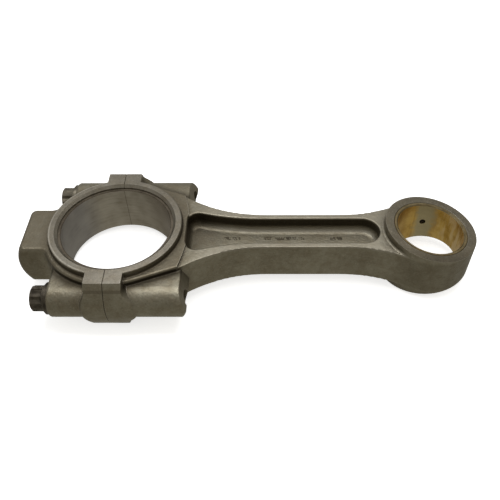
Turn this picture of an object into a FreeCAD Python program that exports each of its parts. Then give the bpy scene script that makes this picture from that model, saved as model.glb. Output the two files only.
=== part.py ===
import FreeCAD, Part
import math
import os

import Sketcher
from FreeCAD import Placement, Rotation, Vector

# Connecting rod of a heavy-duty engine, with its bolted cap, bearings and bush.
# Frame: origin at the centre of the big-end bore, +X towards the small end,
# +Z along both bores.  Rod and cap part at the plane X = 0.

DIM = {
    # both ends; through is the length of a cut that passes right through
    "centre_distance": 260.0,
    "big_end_width": 50.0,
    "through": 200.0,
    # big-end rings
    "housing_radius": 47.5,
    "bore_chamfer": 2.2,
    "lip_radius": 54.7,
    "ledge_radius": 59.5,
    "ledge_height": 39.0,
    "shoulder_angle": 67.0,
    "shoulder_reach": 53.5,
    "shoulder_half_width": 42.5,
    "ridge_radius": 142.2,
    # bolt bosses and split pads
    "bolt_offset": 57.7,
    "boss_radius": 14.6,
    "rod_boss_length": 62.0,
    "rod_boss_slope": 20.0,
    "cap_boss_length": 46.0,
    "pad_half_span": 63.2,
    "rod_pad_swell": 10.0,
    "cap_pad_swell": 6.0,
    "pad_flare_level": 0.52,
    "pad_face_swell": 10.5,
    "rod_pad_length": 13.8,
    "cap_pad_length": 14.8,
    # crown of the cap
    "crown_reach": 75.5,
    "crown_half_width": 23.3,
    "crown_root_round": 7.0,
    "crown_corner": 5.0,
    "crown_inner": 45.0,
    "crown_end_swell": 5.0,
    "crown_side_swell": 1.5,
    # shank
    "flange_height": 34.4,
    "shank_half_width": 18.9,
    "flare_radius": 120.0,
    "big_flare_start": 125.0,
    "eye_flare_start": 186.0,
    "eye_flare_end": 242.4,
    "eye_flare_half_width": 33.0,
    "web_thickness": 6.0,
    "pocket_start": 58.0,
    "pocket_end_half_width": 12.2,
    "pocket_flare_start": 69.7,
    "pocket_flare_half_width": 20.8,
    "pocket_half_width": 13.9,
    "pocket_flare_radius": 195.0,
    "pocket_round_start": 204.5,
    # small end
    "eye_radius": 37.6,
    "eye_mid_width": 39.6,
    "eye_taper": 7.8,
    "bush_outer_radius": 30.0,
    "bush_bore_radius": 27.5,
    "bush_recess": 0.3,
    "oil_hole_radius": 2.6,
    "oil_hole_angle": 86.0,
    # bearing shells
    "shell_bore_radius": 45.0,
    "shell_width": 43.0,
    "tang_width": 5.0,
    "tang_length": 4.0,
    "tang_depth": 1.3,
    "tang_centre": 14.0,
    # bolts and washers
    "bolt_radius": 7.0,
    "bolt_length": 99.0,
    "bolt_waist_radius": 6.3,
    "bolt_waist_start": 28.0,
    "thread_start": 73.0,
    "thread_pitch": 1.5,
    "thread_depth": 0.7,
    "clearance_radius": 7.3,
    "thread_hole_radius": 7.05,
    "thread_hole_depth": 23.0,
    "washer_radius": 12.8,
    "washer_thickness": 3.0,
    "head_point_radius": 10.4,
    "head_height": 11.0,
    "head_chamfer": 1.2,
    "collar_radius": 11.4,
    "collar_height": 2.4,
    "thread_rings": 17,
    # locating dowels
    "dowel_radius": 3.0,
    "dowel_length": 14.0,
    "dowel_play": 0.03,
    "dowel_end_room": 1.0,
    "dowel_offset": 55.6,
    "dowel_height": 17.5,
    # edges
    "rod_boss_round": 1.4,
    "cap_boss_round": 2.4,
    "boss_blend": 0.8,
    "pad_corner": 0.8,
    "pad_corner_swell": 4.2,
    "lip_blend": 1.5,
    "lip_round": 0.8,
    "ledge_round": 2.0,
    "cap_ledge_round": 2.8,
    "pocket_corner": 9.0,
    "pocket_floor_round": 5.5,
    "flange_edge_round": 1.0,
    "pocket_rim_round": 1.2,
    "eye_blend": 2.0,
    "small_edge": 0.6,
    "split_chamfer": 0.4,
    "mouth_chamfer": 0.9,
    "shell_edge": 0.5,
}

doc = FreeCAD.newDocument("ConnectingRod")
sheet = doc.addObject("Spreadsheet::Sheet", "Dim")
for row, (alias, value) in enumerate(DIM.items(), start=1):
    sheet.set(f"A{row}", alias)
    sheet.set(f"B{row}", str(value))
    sheet.setAlias(f"B{row}", alias)
doc.recompute()

CLOSE = 0.01  # slack for matching edges by their place


# --- helpers ---------------------------------------------------------------

def number(expression):
    """Value of an expression in the sheet's names."""
    result = sheet.evalExpression(expression)
    return float(getattr(result, "Value", result))


def new_body(label):
    body = doc.addObject("PartDesign::Body", label)
    body.Label = label
    return body


def new_sketch(body, name, role):
    """Sketch on one of the body's own origin planes."""
    plane = next(item for item in body.Origin.OriginFeatures if item.Role == role)
    sketch = body.newObject("Sketcher::SketchObject", name)
    sketch.AttachmentSupport = [(plane, "")]
    sketch.MapMode = "FlatFace"
    return sketch


def constrain(sketch, kind, *arguments):
    """Add a constraint; a final text argument is an expression in the sheet."""
    if isinstance(arguments[-1], str):
        expression = arguments[-1]
        value = number(expression)
        index = sketch.addConstraint(Sketcher.Constraint(kind, *arguments[:-1], value))
        sketch.setExpression(f"Constraints[{index}]", expression)
    else:
        sketch.addConstraint(Sketcher.Constraint(kind, *arguments))


def fix_point(sketch, geometry, end, x, y):
    """Hold a point at two expressions measured from the sketch's origin."""
    for kind, value, axis in (("DistanceX", x, -2), ("DistanceY", y, -1)):
        if value == "0":
            constrain(sketch, "PointOnObject", geometry, end, axis)
        else:
            constrain(sketch, kind, -1, 1, geometry, end, value)


def add_circle(sketch, radius, x="0", y="0"):
    centre = Vector(number(x), number(y), 0)
    circle = sketch.addGeometry(Part.Circle(centre, Vector(0, 0, 1), number(radius)))
    constrain(sketch, "Radius", circle, radius)
    if x == "0" and y == "0":
        constrain(sketch, "Coincident", circle, 3, -1, 1)
    else:
        fix_point(sketch, circle, 3, x, y)


def arc_between(start, end, radius, turn):
    """Arc from start to end; turn +1 runs anticlockwise, -1 clockwise."""
    chord = end - start
    rise = math.sqrt(max(radius ** 2 - (chord.Length / 2) ** 2, 0.0))
    side = Vector(-chord.y, chord.x, 0).normalize() * turn
    centre = (start + end) / 2 + side * rise
    first, last = (start, end) if turn > 0 else (end, start)
    angles = [math.atan2(point.y - centre.y, point.x - centre.x) for point in (first, last)]
    return Part.ArcOfCircle(Part.Circle(centre, Vector(0, 0, 1), radius), *angles)


def add_outline(sketch, vertices):
    """Closed outline.  A vertex is (x, y) or (x, y, radius, turn) when the stretch
    that leaves it is an arc; a half circle's radius is given as "half"."""
    points = [Vector(number(vertex[0]), number(vertex[1]), 0) for vertex in vertices]
    ends = []
    for index, vertex in enumerate(vertices):
        start = points[index]
        end = points[(index + 1) % len(points)]
        if len(vertex) == 2:
            piece = sketch.addGeometry(Part.LineSegment(start, end))
            ends.append((piece, 1, 2))
        else:
            radius, turn = vertex[2:]
            half = radius == "half"
            size = (end - start).Length / 2 if half else number(radius)
            piece = sketch.addGeometry(arc_between(start, end, size, turn))
            ends.append((piece, 1, 2) if turn > 0 else (piece, 2, 1))
            if half:
                constrain(sketch, "Symmetric", piece, 1, piece, 2, piece, 3)
            else:
                constrain(sketch, "Radius", piece, radius)
    for index, (piece, first, _) in enumerate(ends):
        before, _, last = ends[index - 1]
        constrain(sketch, "Coincident", before, last, piece, first)
        fix_point(sketch, piece, first, vertices[index][0], vertices[index][1])


def feature(body, kind, name, sketch=None, **settings):
    """PartDesign feature; text settings are expressions, the rest plain values."""
    item = body.newObject("PartDesign::" + kind, name)
    if sketch is not None:
        item.Profile = sketch
        sketch.Visibility = False
    for key, value in settings.items():
        if isinstance(value, str) and value.startswith("Dim.") or key in ("Length", "Radius"):
            item.setExpression(key, value)
        else:
            setattr(item, key, value)
    doc.recompute()
    return item


def symmetric_pad(body, name, sketch, length):
    return feature(body, "Pad", name, sketch, SideType="Symmetric", Length=length)


def symmetric_cut(body, name, sketch, length):
    return feature(body, "Pocket", name, sketch, SideType="Symmetric", Length=length)


def dress(body, kind, name, size, test):
    """Fillet or chamfer on every edge of the body for which the test is true."""
    base = body.Tip
    names = [f"Edge{i}" for i, edge in enumerate(base.Shape.Edges, start=1) if test(edge)]
    if not names:
        raise RuntimeError(f"{name}: no edge fits")
    item = body.newObject("PartDesign::" + kind, name)
    item.Base = (base, names)
    item.setExpression("Radius" if kind == "Fillet" else "Size", size)
    doc.recompute()
    if "Invalid" in item.State or item.Shape.isNull():
        raise RuntimeError(f"{name}: failed on {len(names)} edges")
    return item


# --- tests that choose edges -----------------------------------------------

def at_height(edge, height):
    """True for an edge that lies flat at the given distance above or below z = 0."""
    box = edge.BoundBox
    return box.ZLength < CLOSE and abs(abs(box.Center.z) - height) < CLOSE


def in_plane_x(edge, x):
    return edge.BoundBox.XLength < CLOSE and abs(edge.BoundBox.Center.x - x) < CLOSE


def is_upright(edge):
    return edge.BoundBox.XLength < CLOSE and edge.BoundBox.YLength < CLOSE


def mid_point(edge):
    return edge.valueAt((edge.FirstParameter + edge.LastParameter) / 2)


def at_radius(edge, radius, centre_x=0):
    """True when the edge's middle lies at this radius from the upright axis at centre_x."""
    middle = mid_point(edge)
    return abs(math.hypot(middle.x - centre_x, middle.y) - radius) < CLOSE


# --- big end, shared by rod and cap ----------------------------------------
# direction is +1 for the rod half (x > 0) and -1 for the cap half.

def half_disc(body, name, radius, height, direction):
    sketch = new_sketch(body, name + "Sketch", "XY_Plane")
    add_outline(sketch, [("0", "-" + radius, "half", direction), ("0", radius)])
    return symmetric_pad(body, name, sketch, height)


def bolt_boss_bar(body, direction, length):
    """Bar with half-round ends: both bolt bosses and the web that carries them."""
    sketch = new_sketch(body, "BossSketch", "YZ_Plane")
    add_outline(sketch, [
        ("-Dim.bolt_offset", "-Dim.boss_radius"),
        ("Dim.bolt_offset", "-Dim.boss_radius", "half", 1),
        ("Dim.bolt_offset", "Dim.boss_radius"),
        ("-Dim.bolt_offset", "Dim.boss_radius", "half", 1),
    ])
    feature(body, "Pad", "BossBar", sketch, Length=length, Reversed=direction < 0)


def swelling_block(body, name, height, half_count, outline_at):
    """Block centred on z = 0; outline_at gives its outline at a level that runs
    from -1 at the bottom to 1 at the top."""
    sections = []
    for step in range(-half_count, half_count + 1):
        sketch = new_sketch(body, f"{name}Sketch{step + half_count + 1}", "XY_Plane")
        sketch.setExpression("AttachmentOffset.Base.z", f"{height} / {2 * half_count} * {step}")
        add_outline(sketch, outline_at(step / half_count))
        sections.append(sketch)
    feature(body, "AdditiveLoft", name, sections[0], Sections=sections[1:])


def split_pads(body, direction, length, swell_name):
    """Full-height block across the split, over both bolts; it flares into the bosses."""
    sign = "" if direction > 0 else "-"

    def outline_at(level):
        flare = f"{math.exp(-(level / DIM['pad_flare_level']) ** 4):.4f}"
        reach = f"({length} + {swell_name} * {flare})"
        span = f"(Dim.pad_half_span + Dim.pad_face_swell * {1 - level ** 2})"
        round_size = f"(Dim.pad_corner + Dim.pad_corner_swell * {flare})"
        inner = f"{sign}({reach} - {round_size})"
        corner = f"({span} - {round_size})"
        return [
            ("0", "-" + span),
            (inner, "-" + span, round_size, direction),
            (sign + reach, "-" + corner),
            (sign + reach, corner, round_size, direction),
            (inner, span),
            ("0", span),
        ]

    swelling_block(body, "SplitPads", "Dim.big_end_width", 4, outline_at)


def big_end_holes(body, direction, tang_sign):
    """Housing bore with its chamfers, shell tang notch and dowel holes."""
    bore = new_sketch(body, "HousingBoreSketch", "XY_Plane")
    add_circle(bore, "Dim.housing_radius")
    symmetric_cut(body, "HousingBore", bore, "Dim.through")

    notch = new_sketch(body, "TangNotchSketch", "XY_Plane")
    far = "Dim.tang_length" if direction > 0 else "-Dim.tang_length"
    add_outline(notch, [
        ("0", "-Dim.housing_radius - Dim.tang_depth"),
        (far, "-Dim.housing_radius - Dim.tang_depth"),
        (far, "-Dim.shell_bore_radius"),
        ("0", "-Dim.shell_bore_radius"),
    ])
    offset = "Dim.tang_centre * {} - Dim.tang_width / 2".format(tang_sign)
    notch.setExpression("AttachmentOffset.Base.z", offset)
    feature(body, "Pocket", "TangNotch", notch, Length="Dim.tang_width", Reversed=True)

    dowels = new_sketch(body, "DowelHoleSketch", "YZ_Plane")
    radius = "Dim.dowel_radius" if direction > 0 else "Dim.dowel_radius + Dim.dowel_play"
    add_circle(dowels, radius, "-Dim.dowel_offset", "Dim.dowel_height")
    add_circle(dowels, radius, "Dim.dowel_offset", "-Dim.dowel_height")
    feature(body, "Pocket", "DowelHoles", dowels, Length="Dim.dowel_length / 2 + Dim.dowel_end_room",
            Reversed=direction > 0)


def chamfer_split(body):
    """Small chamfer along the outer edges of the split face."""
    def on_outline(edge):
        box = edge.BoundBox
        on_pad = max(abs(box.YMin), abs(box.YMax)) > DIM["bolt_offset"] + DIM["boss_radius"]
        on_face = at_height(edge, DIM["big_end_width"] / 2)
        return in_plane_x(edge, 0) and (on_pad or on_face)

    dress(body, "Chamfer", "SplitChamfer", "Dim.split_chamfer", on_outline)


def bolt_holes(body, name, radius, start, length, direction):
    sketch = new_sketch(body, name + "Sketch", "YZ_Plane")
    add_circle(sketch, radius, "-Dim.bolt_offset", "0")
    add_circle(sketch, radius, "Dim.bolt_offset", "0")
    sketch.setExpression("AttachmentOffset.Base.z", start)
    feature(body, "Pocket", name, sketch, Length=length, Reversed=direction > 0)


def chamfer_bore(body):
    dress(body, "Chamfer", "BoreChamfer", "Dim.bore_chamfer",
          lambda edge: at_height(edge, DIM["big_end_width"] / 2)
          and at_radius(edge, DIM["housing_radius"]))


def round_ledge(body, size):
    dress(body, "Fillet", "LedgeRound", size,
          lambda edge: at_height(edge, DIM["ledge_height"] / 2) and not in_plane_x(edge, 0)
          and mid_point(edge).x < DIM["shoulder_reach"])


def joins_ledge(edge):
    """True for an edge where the boss bar's flat faces meet the wall of the ledge."""
    across = edge.BoundBox.XLength > CLOSE and edge.BoundBox.YLength > CLOSE
    return across and at_height(edge, DIM["boss_radius"])


def round_boss_bar(body, boss_end, end_round):
    """Hollow rounds beside the boss bar, then a round along its outer end."""
    dress(body, "Fillet", "BossBlend", "Dim.boss_blend",
          lambda edge: joins_ledge(edge)
          or (is_upright(edge) and in_plane_x(edge, boss_end)))
    dress(body, "Fillet", "BossEnds", end_round,
          lambda edge: in_plane_x(edge, boss_end) and not is_upright(edge))


def slope_boss_ends(body):
    """Cut the bar's end back above and below mid-height, as it left the dies."""
    sketch = new_sketch(body, "BossSlopeSketch", "XZ_Plane")
    back = "Dim.rod_boss_length - Dim.boss_radius * tan(Dim.rod_boss_slope)"
    clear = "Dim.rod_boss_length + Dim.boss_radius"
    add_outline(sketch, [
        ("Dim.rod_boss_length", "0"),
        (back, "Dim.boss_radius"),
        (clear, "Dim.boss_radius"),
        (clear, "-Dim.boss_radius"),
        (back, "-Dim.boss_radius"),
    ])
    symmetric_cut(body, "BossSlope", sketch, "Dim.through")
    slope = math.tan(math.radians(DIM["rod_boss_slope"]))

    def on_slope(point):
        return abs(point.x - DIM["rod_boss_length"] + abs(point.z) * slope) < CLOSE

    dress(body, "Fillet", "BossEnds", "Dim.rod_boss_round",
          lambda edge: on_slope(mid_point(edge)) and abs(mid_point(edge).z) > CLOSE)


def blend_lip(body):
    """Hollow round under the raised lip and a small round along its top."""
    dress(body, "Fillet", "LipBlend", "Dim.lip_blend",
          lambda edge: at_height(edge, DIM["ledge_height"] / 2)
          and at_radius(edge, DIM["lip_radius"]))
    dress(body, "Fillet", "LipRound", "Dim.lip_round",
          lambda edge: at_height(edge, DIM["big_end_width"] / 2)
          and at_radius(edge, DIM["lip_radius"]))


# --- rod forging -----------------------------------------------------------

def make_rod():
    body = new_body("rod_forging")
    bolt_boss_bar(body, 1, "Dim.rod_boss_length")
    slope_boss_ends(body)

    plate = new_sketch(body, "LedgeSketch", "XY_Plane")
    tangent_x = "Dim.ledge_radius * cos(Dim.shoulder_angle)"
    tangent_y = "Dim.ledge_radius * sin(Dim.shoulder_angle)"
    add_outline(plate, [
        ("0", "-Dim.ledge_radius", "Dim.ledge_radius", 1),
        (tangent_x, "-" + tangent_y),
        ("Dim.shoulder_reach", "-Dim.shoulder_half_width", "Dim.ridge_radius", 1),
        ("Dim.shoulder_reach", "Dim.shoulder_half_width"),
        (tangent_x, tangent_y, "Dim.ledge_radius", 1),
        ("0", "Dim.ledge_radius"),
    ])
    symmetric_pad(body, "Ledge", plate, "Dim.ledge_height")
    round_ledge(body, "Dim.ledge_round")

    shank = new_sketch(body, "ShankSketch", "XY_Plane")
    side = []
    for sign, turn in (("-", -1), ("", -1)):
        corners = [
            ("Dim.shoulder_reach", sign + "Dim.shoulder_half_width"),
            ("Dim.big_flare_start", sign + "Dim.shank_half_width"),
            ("Dim.eye_flare_start", sign + "Dim.shank_half_width"),
            ("Dim.eye_flare_end", sign + "Dim.eye_flare_half_width"),
        ]
        order = corners if sign == "-" else corners[::-1]
        flare = ("Dim.flare_radius", turn)
        side += [order[0] + flare, order[1], order[2] + flare, order[3]]
    add_outline(shank, side)
    symmetric_pad(body, "ShankFlange", shank, "Dim.flange_height")
    dress(body, "Fillet", "FlangeEdges", "Dim.flange_edge_round",
          lambda edge: at_height(edge, DIM["flange_height"] / 2)
          and mid_point(edge).x > DIM["rod_boss_length"]
          and not in_plane_x(edge, DIM["eye_flare_end"]))

    dress(body, "Fillet", "BossBlend", "Dim.boss_blend", joins_ledge)
    half_disc(body, "Lip", "Dim.lip_radius", "Dim.big_end_width", 1)
    blend_lip(body)

    eye = new_sketch(body, "EyeSketch", "XY_Plane")
    add_circle(eye, "Dim.eye_radius", "Dim.centre_distance")
    symmetric_pad(body, "Eye", eye, "Dim.big_end_width")
    taper_eye(body, "0")
    blend_eye(body)
    shank_pockets(body)
    split_pads(body, 1, "Dim.rod_pad_length", "Dim.rod_pad_swell")
    big_end_holes(body, 1, 1)
    chamfer_bore(body)
    bolt_holes(body, "BoltClearance", "Dim.clearance_radius", "0", "Dim.thread_hole_depth", 1)
    bolt_holes(body, "BoltThread", "Dim.thread_hole_radius", "Dim.thread_hole_depth",
               "Dim.rod_boss_length", 1)
    chamfer_split(body)
    bush_bore = new_sketch(body, "BushBoreSketch", "XY_Plane")
    add_circle(bush_bore, "Dim.bush_outer_radius", "Dim.centre_distance")
    symmetric_cut(body, "BushBore", bush_bore, "Dim.through")
    chamfer_eye_bore(body, "bush_outer_radius")
    oil_hole(body)
    return body


def blend_eye(body):
    """Round where the eye rises out of the flange faces."""
    dress(body, "Fillet", "EyeBlend", "Dim.eye_blend",
          lambda edge: at_height(edge, DIM["flange_height"] / 2)
          and at_radius(edge, DIM["eye_radius"], DIM["centre_distance"]))


def shank_pockets(body):
    """The two long pockets that leave the I section of the shank."""
    outline = [
        ("Dim.pocket_start", "-Dim.pocket_end_half_width", "Dim.pocket_corner", 1),
        ("Dim.pocket_flare_start", "-Dim.pocket_flare_half_width", "Dim.pocket_flare_radius", -1),
        ("Dim.big_flare_start", "-Dim.pocket_half_width"),
        ("Dim.pocket_round_start", "-Dim.pocket_half_width", "half", 1),
        ("Dim.pocket_round_start", "Dim.pocket_half_width"),
        ("Dim.big_flare_start", "Dim.pocket_half_width", "Dim.pocket_flare_radius", -1),
        ("Dim.pocket_flare_start", "Dim.pocket_flare_half_width", "Dim.pocket_corner", 1),
        ("Dim.pocket_start", "Dim.pocket_end_half_width"),
    ]
    for name, sign, reversed_cut in (("PocketTop", "", True), ("PocketBottom", "-", False)):
        sketch = new_sketch(body, name + "Sketch", "XY_Plane")
        sketch.setExpression("AttachmentOffset.Base.z", sign + "Dim.web_thickness / 2")
        add_outline(sketch, outline)
        feature(body, "Pocket", name, sketch, Length="Dim.big_end_width", Reversed=reversed_cut)

    dress(body, "Fillet", "PocketFloorRound", "Dim.pocket_floor_round",
          lambda edge: at_height(edge, DIM["web_thickness"] / 2))

    flange = DIM["flange_height"] / 2
    ledge = DIM["ledge_height"] / 2

    def on_rim(edge):
        middle = mid_point(edge)
        inside = abs(middle.y) < DIM["pocket_flare_half_width"] + CLOSE
        past_start = middle.x > DIM["pocket_start"] - CLOSE
        on_flange = at_height(edge, flange) and past_start and middle.x < DIM["pocket_round_start"]
        on_ledge = at_height(edge, ledge) and past_start
        step = is_upright(edge) and edge.BoundBox.ZLength < ledge - flange + CLOSE
        return inside and (on_flange or on_ledge or step)

    dress(body, "Fillet", "PocketRim", "Dim.pocket_rim_round", on_rim)


def oil_hole(body):
    """Radial hole through one flank of the eye."""
    hole = body.newObject("PartDesign::SubtractiveCylinder", "OilHole")
    angle = DIM["oil_hole_angle"]
    turn = Rotation(Vector(0, 0, 1), angle) * Rotation(Vector(0, 1, 0), 90)
    hole.Placement = Placement(Vector(DIM["centre_distance"], 0, 0), turn)
    hole.setExpression("Placement.Base.x", "Dim.centre_distance")
    hole.setExpression("Radius", "Dim.oil_hole_radius")
    hole.setExpression("Height", "Dim.eye_radius * 2")
    doc.recompute()


def taper_eye(body, recess):
    """Cut both faces of the eye to a keystone, thinner towards its outer end."""
    for name, sign, turn in (("TaperTop", "", 1), ("TaperBottom", "-", -1)):
        sketch = new_sketch(body, name + "Sketch", "XZ_Plane")
        near = "(Dim.eye_mid_width / 2 + {} * tan(Dim.eye_taper) - {})"
        inner = sign + near.format("Dim.eye_radius", recess)
        outer = sign + near.format("-Dim.eye_radius", recess)
        clear = sign + "Dim.big_end_width"
        corners = [
            ("Dim.centre_distance - Dim.eye_radius", inner),
            ("Dim.centre_distance + Dim.eye_radius", outer),
            ("Dim.centre_distance + Dim.eye_radius", clear),
            ("Dim.centre_distance - Dim.eye_radius", clear),
        ]
        add_outline(sketch, corners[::turn])
        symmetric_cut(body, name, sketch, "Dim.through")


def chamfer_eye_bore(body, radius_name):
    """Lead-in chamfer at both mouths of the hole in the small end."""
    dress(body, "Chamfer", "MouthChamfer", "Dim.mouth_chamfer",
          lambda edge: at_radius(edge, DIM[radius_name], DIM["centre_distance"])
          and not is_upright(edge))


# --- bearing cap -----------------------------------------------------------

def crown_outline(level):
    swell = 1 - level ** 2
    reach = f"(Dim.crown_reach + Dim.crown_end_swell * {swell})"
    half = f"(Dim.crown_half_width + Dim.crown_side_swell * {swell})"
    return [
        ("-Dim.crown_inner", "-" + half),
        (f"-({reach} - Dim.crown_corner)", "-" + half, "Dim.crown_corner", -1),
        ("-" + reach, f"-({half} - Dim.crown_corner)"),
        ("-" + reach, f"({half} - Dim.crown_corner)", "Dim.crown_corner", -1),
        (f"-({reach} - Dim.crown_corner)", half),
        ("-Dim.crown_inner", half),
    ]


def make_cap():
    body = new_body("bearing_cap")

    plate = new_sketch(body, "LedgeSketch", "XY_Plane")
    add_outline(plate, [
        ("0", "-Dim.ledge_radius", "half", -1),
        ("0", "Dim.ledge_radius"),
    ])
    symmetric_pad(body, "Ledge", plate, "Dim.ledge_height")
    swelling_block(body, "Crown", "Dim.ledge_height", 2, crown_outline)

    def is_root(edge):
        full_height = edge.BoundBox.ZLength > DIM["ledge_height"] - CLOSE
        return full_height and at_radius(edge, DIM["ledge_radius"]) and not in_plane_x(edge, 0)

    dress(body, "Fillet", "CrownRoots", "Dim.crown_root_round", is_root)
    round_ledge(body, "Dim.cap_ledge_round")

    bolt_boss_bar(body, -1, "Dim.cap_boss_length")
    round_boss_bar(body, -DIM["cap_boss_length"], "Dim.cap_boss_round")
    half_disc(body, "Lip", "Dim.lip_radius", "Dim.big_end_width", -1)
    blend_lip(body)
    split_pads(body, -1, "Dim.cap_pad_length", "Dim.cap_pad_swell")
    big_end_holes(body, -1, -1)
    chamfer_bore(body)
    bolt_holes(body, "BoltClearance", "Dim.clearance_radius", "0", "Dim.cap_boss_length", -1)
    chamfer_split(body)
    return body


# --- bearing shells and bush -----------------------------------------------

def make_shell(label, direction):
    """Half bearing; its tang sits in the notch at the split, on the near side."""
    body = new_body(label)
    half_disc(body, "Shell", "Dim.housing_radius", "Dim.shell_width", direction)

    tang = new_sketch(body, "TangSketch", "XY_Plane")
    far = "Dim.tang_length" if direction > 0 else "-Dim.tang_length"
    add_outline(tang, [
        ("0", "-Dim.housing_radius - Dim.tang_depth"),
        (far, "-Dim.housing_radius - Dim.tang_depth"),
        (far, "-Dim.shell_bore_radius"),
        ("0", "-Dim.shell_bore_radius"),
    ])
    tang.setExpression("AttachmentOffset.Base.z", f"Dim.tang_centre * {direction} - Dim.tang_width / 2")
    feature(body, "Pad", "Tang", tang, Length="Dim.tang_width")

    bore = new_sketch(body, "ShellBoreSketch", "XY_Plane")
    add_circle(bore, "Dim.shell_bore_radius")
    symmetric_cut(body, "ShellBore", bore, "Dim.through")
    dress(body, "Chamfer", "ShellEdge", "Dim.shell_edge",
          lambda edge: at_height(edge, DIM["shell_width"] / 2)
          and at_radius(edge, DIM["shell_bore_radius"]))


def make_bush():
    body = new_body("small_end_bush")
    ring = new_sketch(body, "BushSketch", "XY_Plane")
    add_circle(ring, "Dim.bush_outer_radius", "Dim.centre_distance")
    add_circle(ring, "Dim.bush_bore_radius", "Dim.centre_distance")
    symmetric_pad(body, "Bush", ring, "Dim.big_end_width")
    taper_eye(body, "Dim.bush_recess")
    chamfer_eye_bore(body, "bush_bore_radius")
    oil_hole(body)


# --- bolts, washers and dowels ---------------------------------------------
# A bolt and its washer are drawn on the X axis and moved onto the bolt's axis.

def place_on_bolt_axis(body, side):
    body.setExpression("Placement.Base.y", f"Dim.bolt_offset * {side}")


def make_washer(label, side):
    body = new_body(label)
    ring = new_sketch(body, "WasherSketch", "YZ_Plane")
    add_circle(ring, "Dim.washer_radius")
    add_circle(ring, "Dim.clearance_radius")
    ring.setExpression("AttachmentOffset.Base.z", "-Dim.cap_boss_length")
    feature(body, "Pad", "Washer", ring, Length="Dim.washer_thickness", Reversed=True)
    outer_face = -DIM["cap_boss_length"] - DIM["washer_thickness"]
    dress(body, "Chamfer", "WasherEdge", "Dim.small_edge", lambda edge: in_plane_x(edge, outer_face))
    place_on_bolt_axis(body, side)


def make_bolt(label, side):
    """Twelve-point bolt: coned collar, waisted shank and a ringed thread."""
    body = new_body(label)
    seat = "(-Dim.cap_boss_length - Dim.washer_thickness)"
    tip = f"({seat} + Dim.bolt_length)"
    thread = f"({seat} + Dim.thread_start)"
    shank = new_sketch(body, "ShankSketch", "XY_Plane")
    add_outline(shank, [
        (seat, "0"),
        (tip, "0"),
        (tip, "Dim.bolt_radius - Dim.thread_pitch"),
        (f"{tip} - Dim.thread_pitch", "Dim.bolt_radius"),
        (thread, "Dim.bolt_radius"),
        (f"{thread} - Dim.thread_pitch", "Dim.bolt_waist_radius"),
        (f"{seat} + Dim.bolt_waist_start", "Dim.bolt_waist_radius"),
        (f"{seat} + Dim.bolt_waist_start - Dim.thread_pitch", "Dim.bolt_radius"),
        (seat, "Dim.bolt_radius"),
    ])
    feature(body, "Revolution", "Shank", shank, ReferenceAxis=(shank, ["H_Axis"]), Angle=360)

    groove = new_sketch(body, "ThreadSketch", "XY_Plane")
    crest = "Dim.bolt_radius + Dim.thread_depth"
    root = "Dim.bolt_radius - Dim.thread_depth"
    start = f"({thread} + Dim.thread_pitch)"
    add_outline(groove, [
        (f"{start} - Dim.thread_pitch", crest),
        (start, root),
        (f"{start} + Dim.thread_pitch", crest),
    ])
    ring = feature(body, "Groove", "ThreadRing", groove, ReferenceAxis=(groove, ["H_Axis"]), Angle=360)
    rings = body.newObject("PartDesign::LinearPattern", "ThreadRings")
    rings.Originals = [ring]
    rings.Direction = (groove, ["H_Axis"])
    rings.setExpression("Length", "Dim.thread_pitch * (Dim.thread_rings - 1)")
    rings.setExpression("Occurrences", "Dim.thread_rings")
    body.Tip = rings
    doc.recompute()

    for index, turn in enumerate((0, 30)):
        hexagon = body.newObject("PartDesign::AdditivePrism", f"HeadPrism{index + 1}")
        hexagon.Polygon = 6
        hexagon.setExpression("Circumradius", "Dim.head_point_radius")
        hexagon.setExpression("Height", "Dim.head_height")
        along = Rotation(Vector(0, 1, 0), -90) * Rotation(Vector(0, 0, 1), turn)
        hexagon.Placement = Placement(Vector(number(seat), 0, 0), along)
        hexagon.setExpression("Placement.Base.x", seat)
        doc.recompute()

    collar = new_sketch(body, "CollarSketch", "XY_Plane")
    add_outline(collar, [
        (seat, "0"),
        (seat, "Dim.collar_radius"),
        (f"{seat} - Dim.collar_height / 3", "Dim.collar_radius"),
        (f"{seat} - Dim.collar_height", "Dim.head_point_radius - Dim.head_chamfer"),
        (f"{seat} - Dim.collar_height", "0"),
    ])
    feature(body, "Revolution", "Collar", collar, ReferenceAxis=(collar, ["H_Axis"]), Angle=360)

    end = f"{seat} - Dim.head_height"
    corner = new_sketch(body, "HeadChamferSketch", "XY_Plane")
    add_outline(corner, [
        (end, "Dim.head_point_radius - Dim.head_chamfer"),
        (f"{end} + Dim.head_chamfer", "Dim.head_point_radius + Dim.small_edge"),
        (end, "Dim.head_point_radius + Dim.small_edge"),
    ])
    feature(body, "Groove", "HeadChamfer", corner, ReferenceAxis=(corner, ["H_Axis"]), Angle=360)
    place_on_bolt_axis(body, side)


def make_dowel(label, side):
    body = new_body(label)
    pin = new_sketch(body, "DowelSketch", "YZ_Plane")
    add_circle(pin, "Dim.dowel_radius")
    symmetric_pad(body, "Dowel", pin, "Dim.dowel_length")
    half = DIM["dowel_length"] / 2
    dress(body, "Chamfer", "DowelEnds", "Dim.small_edge",
          lambda edge: in_plane_x(edge, half) or in_plane_x(edge, -half))
    body.setExpression("Placement.Base.y", f"Dim.dowel_offset * {side}")
    body.setExpression("Placement.Base.z", f"Dim.dowel_height * {-side}")


# --- build, check and export -----------------------------------------------

def check_document():
    doc.recompute()
    for item in doc.Objects:
        if "Invalid" in item.State or "Error" in item.State:
            raise RuntimeError(f"{item.Name}: {item.State}")
    for body in doc.findObjects("PartDesign::Body"):
        if body.Shape.isNull() or not body.Shape.isValid() or len(body.Shape.Solids) != 1:
            raise RuntimeError(f"{body.Label}: not one valid solid")


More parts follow.
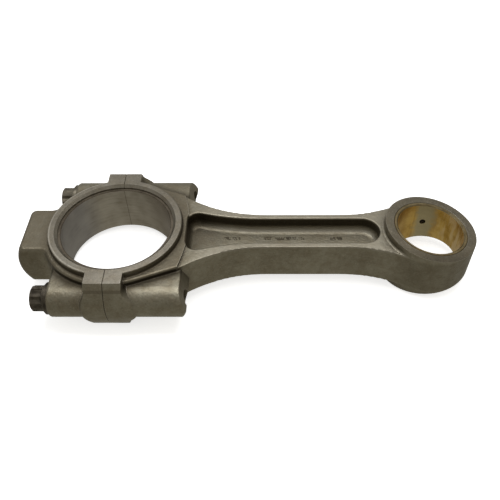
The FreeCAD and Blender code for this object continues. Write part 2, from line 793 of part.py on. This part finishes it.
make_rod()
make_cap()
make_shell("upper_bearing_shell", 1)
make_shell("lower_bearing_shell", -1)
make_bush()
for place, side in (("near", -1), ("far", 1)):
    make_washer(f"bolt_washer_{place}", side)
    make_bolt(f"cap_bolt_{place}", side)
    make_dowel(f"dowel_{place}", side)
check_document()

os.makedirs("parts", exist_ok=True)
for body in doc.findObjects("PartDesign::Body"):
    body.Shape.exportStep(f"parts/{body.Label}.step")
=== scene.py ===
import math

import bpy
import numpy as np
from mathutils import Matrix, Vector


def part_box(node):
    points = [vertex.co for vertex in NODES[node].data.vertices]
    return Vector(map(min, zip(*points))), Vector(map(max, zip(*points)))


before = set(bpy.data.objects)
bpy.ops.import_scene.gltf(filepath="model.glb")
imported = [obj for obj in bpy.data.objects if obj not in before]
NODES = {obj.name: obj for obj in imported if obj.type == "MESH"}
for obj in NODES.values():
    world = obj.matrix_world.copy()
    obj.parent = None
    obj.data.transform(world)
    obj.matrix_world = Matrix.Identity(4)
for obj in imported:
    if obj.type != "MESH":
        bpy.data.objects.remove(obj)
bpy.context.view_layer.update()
MM = 0.001

# Sizes read from the CAD nodes, in metres.
EYE_X = (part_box("small_end_bush")[0].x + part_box("small_end_bush")[1].x) / 2
HALF_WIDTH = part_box("rod_forging")[1].z
SEAT_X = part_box("bolt_washer_near")[1].x

# Sizes of the forgings that painted shade and highlights, stains and machined faces follow.
LIP_RADIUS = 54.7 * MM
LEDGE_RADIUS = 59.5 * MM
LEDGE_TOP = 19.5 * MM
SHOULDER_ANGLE = math.radians(67)
BOSS_TOP = 14.6 * MM
FLANGE_TOP = 17.2 * MM
POCKET_START = 56.0 * MM
POCKET_END = 222.0 * MM
EYE_RADIUS = 37.6 * MM
EYE_THIN_END = 14.5 * MM
BORE_MOUTH = 50.2 * MM
BUSH_MOUTH = 31.2 * MM
BUSH_BORE = 27.5 * MM
OIL_HOLE_ANGLE = math.radians(86)
SPLIT_GAP = 0.16 * MM  # half the width of the dark line where rod and cap meet
SLACK = 0.1 * MM


# --- materials ---------------------------------------------------------------

def rgb(red, green, blue):
    """Linear colour from 0-255 screen values."""
    return tuple((value / 255) ** 2.2 for value in (red, green, blue)) + (1.0,)


class Graph:
    """Short way to write a material's nodes; x, y and z are the place in the frame."""

    def __init__(self, name):
        self.material = bpy.data.materials.new(name)
        self.material.use_nodes = True
        self.nodes = self.material.node_tree.nodes
        self.links = self.material.node_tree.links
        self.shader = self.nodes["Principled BSDF"]
        self.place = self.add("ShaderNodeTexCoord").outputs["Object"]
        axes = self.add("ShaderNodeSeparateXYZ")
        self.put(axes.inputs[0], self.place)
        self.x, self.y, self.z = axes.outputs

    def add(self, kind, **settings):
        node = self.nodes.new(kind)
        for key, value in settings.items():
            setattr(node, key, value)
        return node

    def put(self, socket, value):
        """Link an output, or set a plain value."""
        if isinstance(value, bpy.types.NodeSocket):
            self.links.new(value, socket)
        else:
            socket.default_value = value

    def math(self, operation, *values):
        node = self.add("ShaderNodeMath", operation=operation)
        for socket, value in zip(node.inputs, values):
            self.put(socket, value)
        return node.outputs[0]

    def times(self, first, *others):
        for other in others:
            first = self.math("MULTIPLY", first, other)
        return first

    def absolute(self, value):
        return self.math("ABSOLUTE", value)

    def spread(self, value, low, high, out_low=0.0, out_high=1.0):
        """Map value from low..high to out_low..out_high, clamped."""
        node = self.add("ShaderNodeMapRange", clamp=True)
        for key, item in (("Value", value), ("From Min", low), ("From Max", high),
                          ("To Min", out_low), ("To Max", out_high)):
            self.put(node.inputs[key], item)
        return node.outputs["Result"]

    def window(self, value, centre, half, soft):
        """1 where value is within half of centre, fading to 0 over soft."""
        off = self.absolute(self.math("SUBTRACT", value, centre))
        return self.spread(off, half + soft, half)

    def radius(self, centre_x=0.0):
        """Distance from the upright axis at centre_x."""
        across = self.math("SUBTRACT", self.x, centre_x)
        squares = self.math("MULTIPLY_ADD", across, across, self.times(self.y, self.y))
        return self.math("SQRT", squares)

    def noise(self, size, detail=3.0, rough=0.55, stretch=None):
        """Noise whose features are about size metres across."""
        vector = self.place
        if stretch is not None:
            scaled = self.add("ShaderNodeVectorMath", operation="MULTIPLY")
            self.put(scaled.inputs[0], vector)
            self.put(scaled.inputs[1], stretch)
            vector = scaled.outputs[0]
        node = self.add("ShaderNodeTexNoise")
        self.put(node.inputs["Vector"], vector)
        self.put(node.inputs["Scale"], 1.0 / size)
        self.put(node.inputs["Detail"], detail)
        self.put(node.inputs["Roughness"], rough)
        return node.outputs["Fac"]

    def mix(self, factor, first, second):
        node = self.add("ShaderNodeMix", data_type="RGBA")
        self.put(node.inputs["Factor"], factor)
        self.put(node.inputs[6], first)
        self.put(node.inputs[7], second)
        return node.outputs[2]

    def tint(self, body, colour, *strengths):
        """Mix body towards a colour by the product of the strengths."""
        return self.mix(self.times(*strengths), body, rgb(*colour))

    def outer_edges(self, radius):
        """0 on flat faces, towards 1 on outward edges."""
        bevel = self.add("ShaderNodeBevel", samples=4)
        self.put(bevel.inputs["Radius"], radius)
        normal = self.add("ShaderNodeNewGeometry").outputs["Normal"]
        dot = self.add("ShaderNodeVectorMath", operation="DOT_PRODUCT")
        self.put(dot.inputs[0], bevel.outputs[0])
        self.put(dot.inputs[1], normal)
        return self.spread(dot.outputs["Value"], 0.99, 0.86)

    def occlusion_amount(self, reach):
        """1 in the open, towards 0 deep in corners."""
        node = self.add("ShaderNodeAmbientOcclusion", samples=4)
        self.put(node.inputs["Distance"], reach)
        return node.outputs["AO"]

    def bump(self, height, strength, distance):
        node = self.add("ShaderNodeBump")
        self.put(node.inputs["Height"], height)
        self.put(node.inputs["Strength"], strength)
        self.put(node.inputs["Distance"], distance)
        return node.outputs["Normal"]

    def finish(self, colour, roughness, metallic, normal):
        for key, value in (("Base Color", colour), ("Roughness", roughness),
                           ("Metallic", metallic), ("Normal", normal)):
            self.put(self.shader.inputs[key], value)
        return self.material


# Masks: each is 1 where its name says and 0 elsewhere, with soft limits.

def near_split(g):
    """The slightly ragged line where rod and cap part."""
    ragged = g.math("MULTIPLY_ADD", g.noise(4 * MM, detail=4), 0.4 * MM, -0.2 * MM)
    off = g.absolute(g.math("ADD", g.x, ragged))
    return g.spread(off, 2.2 * SPLIT_GAP, SPLIT_GAP)


def flange_top_highlight(g):
    """The flange tops of the shank, painted lighter as a highlight."""
    level = g.window(g.absolute(g.z), FLANGE_TOP, 1.1 * MM, 0.4 * MM)
    off_eye = g.spread(g.radius(EYE_X), EYE_RADIUS, EYE_RADIUS + 0.5 * MM)
    return g.times(level, g.spread(g.x, 60 * MM, 78 * MM), off_eye)


def ledge_top(g):
    """The flat top of the ledge around the big end."""
    level = g.window(g.absolute(g.z), LEDGE_TOP, 0.8 * MM, 0.6 * MM)
    return g.times(level, g.spread(g.x, 66 * MM, 58 * MM))


def past_ledge(g):
    """Distance outside the ledge's outline: an arc, then a straight shoulder."""
    radius = g.radius()
    shoulder = g.math("MULTIPLY_ADD", g.x, math.cos(SHOULDER_ANGLE),
                      g.times(g.absolute(g.y), math.sin(SHOULDER_ANGLE)))
    on_shoulder = g.math("GREATER_THAN", g.x, LEDGE_RADIUS * math.cos(SHOULDER_ANGLE))
    reach = g.math("MULTIPLY_ADD", on_shoulder, g.math("SUBTRACT", shoulder, radius), radius)
    return g.math("SUBTRACT", reach, LEDGE_RADIUS)


def lip_foot_shade(g):
    """The corner at the foot of the raised lip, where shade is painted."""
    return g.times(g.spread(g.radius(), LIP_RADIUS + 2.2 * MM, LIP_RADIUS + 0.6 * MM),
                   g.spread(g.absolute(g.z), LEDGE_TOP + 2.6 * MM, LEDGE_TOP + 0.8 * MM))


def boss_root_shade(g):
    """The strip of the boss bar that lies along the ledge's wall, where shade is painted."""
    beyond = past_ledge(g)
    return g.times(g.spread(beyond, 9.0 * MM, 2.5 * MM),
                   g.spread(beyond, -0.9 * MM, -0.3 * MM),
                   g.window(g.absolute(g.z), BOSS_TOP + 0.9 * MM, 2.2 * MM, 1.2 * MM),
                   g.spread(g.absolute(g.y), 26 * MM, 36 * MM),
                   g.spread(g.x, 66 * MM, 56 * MM))


def across_pocket(g):
    """Within the width of the shank's pockets, which flare towards the big end."""
    half = g.spread(g.x, 75 * MM, 120 * MM, 22.5 * MM, 16.2 * MM)
    return g.spread(g.math("SUBTRACT", half, g.absolute(g.y)), 0.0, 1.0 * MM)


def pocket_wall_shade(g):
    """The steep walls of the pockets, painted dark as shade."""
    middle = (POCKET_START + POCKET_END) / 2
    along = g.window(g.x, middle, POCKET_END - middle, 2 * MM)
    steep = g.window(g.absolute(g.z), 12.5 * MM, 2.5 * MM, 2.0 * MM)
    return g.times(across_pocket(g), along, steep)


def pocket_root_highlight(g):
    """The hollow round at the foot of the pocket walls, brighter with a painted highlight."""
    low = g.window(g.absolute(g.z), 5.8 * MM, 1.3 * MM, 1.5 * MM)
    along = g.times(g.spread(g.x, 70 * MM, 95 * MM),
                    g.spread(g.x, POCKET_END + 4 * MM, POCKET_END))
    return g.times(across_pocket(g), along, low)


def pocket_shade(g):
    """The end of the pocket at the big end, fading along the shank."""
    low = g.spread(g.absolute(g.z), 16.5 * MM, 14.5 * MM)
    along = g.times(g.spread(g.x, 100 * MM, 66 * MM),
                    g.spread(g.x, POCKET_START - 1 * MM, POCKET_START + 1 * MM))
    return g.times(across_pocket(g), along, low)


def floor_marks(g):
    """Three short rows of small shapeless dark flecks on the upper pocket floor."""
    rows = [g.window(g.x, centre * MM, half * MM, 0.3 * MM)
            for centre, half in ((95.3, 7.0), (139.6, 17.0), (184.0, 5.0))]
    along = g.math("MAXIMUM", g.math("MAXIMUM", rows[0], rows[1]), rows[2])
    flecks = g.spread(g.noise(2.1 * MM, detail=1, stretch=(1.5, 0.8, 1.0)), 0.46, 0.54)
    on_floor = g.times(g.spread(g.z, 2.0 * MM, 2.5 * MM), g.spread(g.z, 4.5 * MM, 4.0 * MM))
    return g.times(along, g.window(g.y, 4.2 * MM, 1.6 * MM, 0.4 * MM), flecks, on_floor)


def end_sides_shade(g):
    """The upright sides of the small end and of the cap's crown, painted darker as shade."""
    ends = g.math("MAXIMUM", g.spread(g.x, 218 * MM, 242 * MM), g.spread(g.x, -58 * MM, -64 * MM))
    return g.times(g.spread(g.absolute(g.z), FLANGE_TOP, 15 * MM), ends)


# Materials.

def steel_colour(g, dark, light, mottle=0.5):
    """Oily steel: broad blotches, small brown patches and bright grains."""
    blotch = g.noise(26 * MM, detail=4)
    patch = g.noise(6 * MM, detail=5, rough=0.65)
    grain = g.noise(1.5 * MM, detail=3, rough=0.6)
    body = g.mix(g.spread(blotch, 0.35, 0.65), rgb(*dark), rgb(*light))
    body = g.tint(body, (116, 104, 82), g.spread(patch, 0.42, 0.72, 0.0, mottle))
    body = g.tint(body, (176, 169, 153), g.spread(grain, 0.54, 0.72, 0.0, 0.32))
    body = g.tint(body, (88, 79, 62), g.spread(grain, 0.46, 0.30, 0.0, 0.35))
    return body, patch, grain


def forged_steel():
    """Shot-blasted forging: fine pits, brownish oil film, painted shade in corners, worn edges with a
    painted highlight.
    """
    g = Graph("forged_steel")
    body, patch, grain = steel_colour(g, (124, 118, 102), (143, 138, 122))
    # Painted highlight on the flange tops.
    body = g.tint(body, (170, 164, 150), flange_top_highlight(g), 0.35)
    # Painted shade on the steep pocket walls.
    body = g.tint(body, (52, 46, 35), pocket_wall_shade(g), 0.75)
    body = g.tint(body, (74, 67, 55), pocket_shade(g), 0.5)
    # Painted highlight on the hollow rounds at the foot of the pocket walls.
    body = g.tint(body, (186, 180, 165), pocket_root_highlight(g), 0.6)
    body = g.tint(body, (58, 52, 41), floor_marks(g), 0.8)
    # Painted shade on the upright sides of the small end and the crown.
    body = g.tint(body, (84, 77, 60), end_sides_shade(g), 0.3)
    body = g.tint(body, (100, 92, 77), ledge_top(g), 0.55)
    off_split = g.spread(g.absolute(g.x), 1.2 * MM, 4.0 * MM)
    # Painted shade: darker in corners, at the foot of the lip and along the boss bar by the ledge's wall.
    corner_shade = g.times(g.spread(g.occlusion_amount(10 * MM), 0.25, 0.92, 0.9, 0.0), off_split)
    lip_and_boss_shade = g.math("MAXIMUM", g.times(lip_foot_shade(g), 0.85), g.times(boss_root_shade(g), 0.8))
    body = g.tint(body, (50, 43, 32), g.math("MAXIMUM", corner_shade, lip_and_boss_shade))
    split = near_split(g)
    # Lighter outward edges: real wear and a painted highlight.
    wear_and_sheen = g.times(g.outer_edges(1.0 * MM), g.spread(patch, 0.35, 0.6, 0.3, 1.0))
    body = g.tint(body, (192, 186, 174), wear_and_sheen, g.math("SUBTRACT", 1.0, split), 0.45)
    body = g.tint(body, (56, 48, 36), split, 0.6)
    height = g.math("ADD", g.times(grain, 0.6), g.times(patch, 1.2))
    parting = g.window(g.z, 0.0, 0.5 * MM, 0.6 * MM)  # line where the dies met
    height = g.math("ADD", height, g.times(parting, 0.15))
    return g.finish(body, g.spread(patch, 0.3, 0.7, 0.36, 0.50), 0.9, g.bump(height, 0.5, 0.5 * MM))


def machined_steel(name, centre_x, dark, light, front_shade=0.0, rim_light=0.0):
    """Turned or ground face: fine rings about an axis along Z at centre_x.  Painted
    shade darkens its front by front_shade; rim_light paints a highlight on the lip's rim on the cap."""
    g = Graph(name)
    radius = g.radius(centre_x)
    rings = g.math("SINE", g.times(radius, 2 * math.pi / (0.45 * MM)))
    body, patch, grain = steel_colour(g, dark, light, 0.35)
    split = near_split(g)
    # Lighter outward edges: real wear and a painted highlight.
    body = g.tint(body, (204, 198, 184), g.outer_edges(0.6 * MM), g.math("SUBTRACT", 1.0, split), 0.45)
    body = g.tint(body, (50, 44, 34), split, 0.6)
    # Painted shade on the front of the face.
    body = g.tint(body, (78, 71, 57), g.spread(g.y, -20 * MM, -36 * MM), front_shade)
    # Painted highlight on the lip's rim, left of the pads.
    rim = g.times(g.window(radius, LIP_RADIUS - 0.6 * MM, 0.7 * MM, 0.5 * MM),
                  g.spread(g.x, -14.5 * MM, -24 * MM), g.spread(patch, 0.35, 0.6, 0.5, 1.0))
    body = g.tint(body, (206, 200, 186), rim, rim_light)
    height = g.math("ADD", g.times(rings, 0.2), grain)
    return g.finish(body, g.spread(patch, 0.35, 0.7, 0.34, 0.46), 0.9, g.bump(height, 0.25, 0.2 * MM))


def bearing_lining():
    """Grey overlay of the shells, wiped along the journal's direction."""
    g = Graph("bearing_lining")
    along = g.noise(5 * MM, detail=5, rough=0.6, stretch=(0.3, 0.3, 3.0))
    blotch = g.noise(16 * MM)
    body = g.mix(g.spread(blotch, 0.35, 0.65), rgb(146, 139, 126), rgb(170, 164, 152))
    body = g.tint(body, (188, 182, 172), g.spread(along, 0.42, 0.72, 0.0, 0.4))
    body = g.tint(body, (112, 104, 94), g.spread(along, 0.46, 0.30, 0.0, 0.3))
    # Painted light: the left side of the bore lighter and greyer.
    body = g.tint(body, (136, 138, 150), g.spread(g.x, -22 * MM, -36 * MM), 0.4)
    # Painted shade: the right side of the bore darker.
    body = g.tint(body, (118, 106, 92), g.spread(g.x, 12 * MM, 36 * MM), 0.45)
    body = g.tint(body, (70, 63, 54), near_split(g), 0.55)
    return g.finish(body, g.spread(along, 0.3, 0.7, 0.34, 0.48), 0.9, g.bump(along, 0.2, 0.2 * MM))


def shell_ends():
    """Dull end faces and chamfers of the bearing shells."""
    g = Graph("shell_ends")
    grain = g.noise(1.2 * MM, detail=4, rough=0.65)
    blotch = g.noise(10 * MM)
    body = g.mix(g.spread(blotch, 0.35, 0.65), rgb(76, 69, 59), rgb(100, 92, 80))
    body = g.tint(body, (132, 124, 110), g.spread(grain, 0.5, 0.75, 0.0, 0.4))
    return g.finish(body, g.spread(grain, 0.3, 0.7, 0.42, 0.56), 0.85, g.bump(grain, 0.3, 0.2 * MM))


def bush_bronze():
    """Bronze with a grey oily band from top to bottom through the oil hole."""
    g = Graph("bush_bronze")
    turned = g.noise(5 * MM, detail=4, stretch=(0.3, 0.3, 4.0))
    blotch = g.noise(10 * MM, detail=4)
    streak = g.noise(4.5 * MM, stretch=(1.0, 1.0, 0.18))
    body = g.mix(g.spread(blotch, 0.38, 0.62), rgb(172, 136, 62), rgb(206, 172, 96))
    body = g.tint(body, (226, 198, 130), g.spread(turned, 0.5, 0.8, 0.0, 0.4))
    body = g.tint(body, (140, 104, 48), g.spread(streak, 0.54, 0.68, 0.0, 0.5))
    # Painted highlight: the outer side of the bush's bore lighter, in streaks.
    outer_side_light = g.spread(g.x, EYE_X + 10 * MM, EYE_X + 24 * MM)
    body = g.tint(body, (230, 206, 156), outer_side_light, g.spread(streak, 0.42, 0.56, 0.0, 0.75))
    oil_x = EYE_X + BUSH_BORE * math.cos(OIL_HOLE_ANGLE)
    off = g.absolute(g.math("SUBTRACT", g.x, oil_x))
    off = g.math("ADD", off, g.math("MULTIPLY_ADD", blotch, 12 * MM, -6 * MM))
    band = g.times(g.spread(off, 10 * MM, 5 * MM), g.spread(g.y, 0.0, 12 * MM))
    body = g.tint(body, (166, 158, 128), band, 0.9)
    return g.finish(body, g.spread(turned, 0.3, 0.7, 0.30, 0.44), 0.95, g.bump(turned, 0.2, 0.2 * MM))


def bush_ends():
    """Bronze end face, ground flush and dulled by oil."""
    g = Graph("bush_ends")
    grain = g.noise(1.4 * MM, detail=4, rough=0.65)
    blotch = g.noise(8 * MM, detail=4)
    body = g.mix(g.spread(blotch, 0.35, 0.65), rgb(108, 96, 70), rgb(138, 124, 94))
    body = g.tint(body, (168, 152, 116), g.spread(grain, 0.5, 0.75, 0.0, 0.4))
    return g.finish(body, g.spread(grain, 0.3, 0.7, 0.36, 0.5), 0.9, g.bump(grain, 0.25, 0.2 * MM))


def bolt_steel(name, dark, light):
    """Oiled, blackened bolts and washers."""
    g = Graph(name)
    blotch = g.noise(4 * MM, detail=4)
    grain = g.noise(0.8 * MM, detail=4, rough=0.7)
    body = g.mix(g.spread(blotch, 0.35, 0.65), rgb(*dark), rgb(*light))
    body = g.tint(body, (140, 132, 118), g.outer_edges(0.5 * MM), 0.45)
    return g.finish(body, g.spread(grain, 0.3, 0.7, 0.32, 0.46), 0.85, g.bump(grain, 0.3, 0.3 * MM))


def pin_steel():
    """Bright ground steel of the dowels."""
    g = Graph("pin_steel")
    grain = g.noise(1.0 * MM, detail=4, stretch=(4.0, 1.0, 1.0))
    body = g.mix(g.spread(grain, 0.35, 0.65), rgb(150, 150, 150), rgb(186, 186, 184))
    return g.finish(body, g.spread(grain, 0.3, 0.7, 0.25, 0.4), 0.9, g.bump(grain, 0.2, 0.2 * MM))


def paint(name, materials, choose=None):
    """Give a node its materials; choose returns the index for each polygon."""
    mesh = NODES[name].data
    mesh.materials.clear()
    for material in materials:
        mesh.materials.append(material)
    index = np.zeros(len(mesh.polygons), dtype=np.int32)
    if choose is not None:
        centres = np.zeros(len(mesh.polygons) * 3)
        normals = np.zeros(len(mesh.polygons) * 3)
        mesh.polygons.foreach_get("center", centres)
        mesh.polygons.foreach_get("normal", normals)
        index = choose(centres.reshape(-1, 3), normals.reshape(-1, 3)).astype(np.int32)
    mesh.polygons.foreach_set("material_index", index)


def machined_zones(centres, normals):
    """0 forged, 1 turned about the big end, 2 turned about the small end."""
    x, y, z = centres.T
    big_radius = np.hypot(x, y)
    eye_radius = np.hypot(x - EYE_X, y)
    upright = np.abs(normals[:, 2])
    index = np.zeros(len(centres))
    index[(np.abs(z) > HALF_WIDTH - SLACK) & (upright > 0.99)] = 1
    index[big_radius < BORE_MOUTH] = 1
    index[(np.abs(z) > HALF_WIDTH - 0.85 * MM) & (big_radius < LIP_RADIUS + SLACK)] = 1
    index[(np.abs(x) < SLACK / 2) | (np.abs(x - SEAT_X) < SLACK / 2)] = 1
    on_eye = (np.abs(z) > EYE_THIN_END) & (eye_radius < EYE_RADIUS + SLACK)
    index[on_eye & (upright > 0.98) & (np.abs(normals[:, 0]) > 0.05)] = 2
    index[eye_radius < BUSH_MOUTH] = 2
    return index


def flat_ends(_, normals):
    """1 on end faces and their chamfers, 0 on the bore's wall."""
    return np.abs(normals[:, 2]) > 0.5


forging = [
    forged_steel(),
    machined_steel("ring_face", 0.0, (122, 116, 104), (140, 135, 124), rim_light=0.45),
    machined_steel("eye_face", EYE_X, (106, 100, 87), (124, 118, 104), front_shade=0.6),
]
for piece in ("rod_forging", "bearing_cap"):
    paint(piece, forging, machined_zones)
shell = [bearing_lining(), shell_ends()]
for piece in ("upper_bearing_shell", "lower_bearing_shell"):
    paint(piece, shell, flat_ends)
paint("small_end_bush", [bush_bronze(), bush_ends()], flat_ends)
# One bolt steel as a shaded and a lit copy: painted shade on the near bolt and washer, painted light on
# the far ones.
near_steel = bolt_steel("black_steel", (62, 57, 50), (88, 82, 72))
far_steel = bolt_steel("bolt_steel_lit", (92, 87, 76), (116, 110, 97))
dowel_steel = pin_steel()
for side, steel in (("near", near_steel), ("far", far_steel)):
    paint(f"cap_bolt_{side}", [steel])
    paint(f"bolt_washer_{side}", [steel])
    paint(f"dowel_{side}", [dowel_steel])


# --- floor, light and camera -------------------------------------------------

def floor_material():
    """Nearly white, with a little light of its own so that shadows stay faint."""
    g = Graph("floor")
    speck = g.noise(4 * MM, detail=2)
    body = g.mix(g.spread(speck, 0.3, 0.7), rgb(250, 250, 250), rgb(253, 253, 253))
    g.put(g.shader.inputs["Emission Color"], (1.0, 1.0, 1.0, 1.0))
    g.put(g.shader.inputs["Emission Strength"], 0.7)
    return g.finish(body, 0.9, 0.0, g.bump(speck, 0.05, 0.2 * MM))


bpy.ops.mesh.primitive_plane_add(size=12.0, location=(0, 0, -HALF_WIDTH))
floor = bpy.context.object
floor.name = "floor"
floor.data.materials.append(floor_material())
floor.visible_diffuse = False
floor.visible_glossy = False


def area_light(name, place, target, size, power):
    light = bpy.data.lights.new(name, "AREA")
    light.shape = "RECTANGLE"
    light.size, light.size_y = size
    light.energy = power
    item = bpy.data.objects.new(name, light)
    bpy.context.scene.collection.objects.link(item)
    item.location = place
    item.rotation_euler = (Vector(target) - Vector(place)).to_track_quat("-Z", "Y").to_euler()


def studio_world():
    """Soft room light: dim and warm below, brighter above and behind."""
    world = bpy.data.worlds.new("world")
    bpy.context.scene.world = world
    world.use_nodes = True
    nodes, links = world.node_tree.nodes, world.node_tree.links
    direction = nodes.new("ShaderNodeTexCoord").outputs["Generated"]
    lean = nodes.new("ShaderNodeVectorMath")
    lean.operation = "DOT_PRODUCT"
    lean.inputs[1].default_value = (-0.22, 0.40, 0.85)
    links.new(direction, lean.inputs[0])
    ramp = nodes.new("ShaderNodeValToRGB")
    stops = ((0.0, (0.43, 0.415, 0.36)), (0.40, (0.30, 0.285, 0.245)),
             (0.75, (0.42, 0.41, 0.38)), (1.0, (0.64, 0.64, 0.64)))
    while len(ramp.color_ramp.elements) < len(stops):
        ramp.color_ramp.elements.new(0.5)
    for element, (place, colour) in zip(ramp.color_ramp.elements, stops):
        element.position = place
        element.color = colour + (1.0,)
    scale = nodes.new("ShaderNodeMapRange")
    scale.inputs["From Min"].default_value = -1.0
    links.new(lean.outputs["Value"], scale.inputs["Value"])
    links.new(scale.outputs["Result"], ramp.inputs["Fac"])
    links.new(ramp.outputs["Color"], nodes["Background"].inputs["Color"])


def add_camera(place, yaw, pitch, roll, lens):
    """Camera turned by yaw from +Y towards +X, pitched down, then rolled."""
    forward = Vector((math.sin(yaw) * math.cos(pitch), math.cos(yaw) * math.cos(pitch), -math.sin(pitch)))
    level = Vector((math.cos(yaw), -math.sin(yaw), 0.0))
    upward = level.cross(forward)
    right = level * math.cos(roll) + upward * math.sin(roll)
    up = upward * math.cos(roll) - level * math.sin(roll)
    camera = bpy.data.objects.new("camera", bpy.data.cameras.new("camera"))
    bpy.context.scene.collection.objects.link(camera)
    camera.data.lens = lens
    camera.data.sensor_width = 36.0
    camera.data.clip_start = 0.01
    turn = Matrix((right, up, -forward)).transposed().to_4x4()
    camera.matrix_world = Matrix.Translation(Vector(place) * MM) @ turn
    bpy.context.scene.camera = camera


area_light("key", (0.11, 0.20, 1.0), (0.11, 0, 0), (1.0, 0.5), 5.6)
studio_world()
bpy.context.scene.view_settings.view_transform = "Standard"
add_camera((117.54, -346.78, 370.94), yaw=-0.020, pitch=0.828, roll=-0.016, lens=42.96)
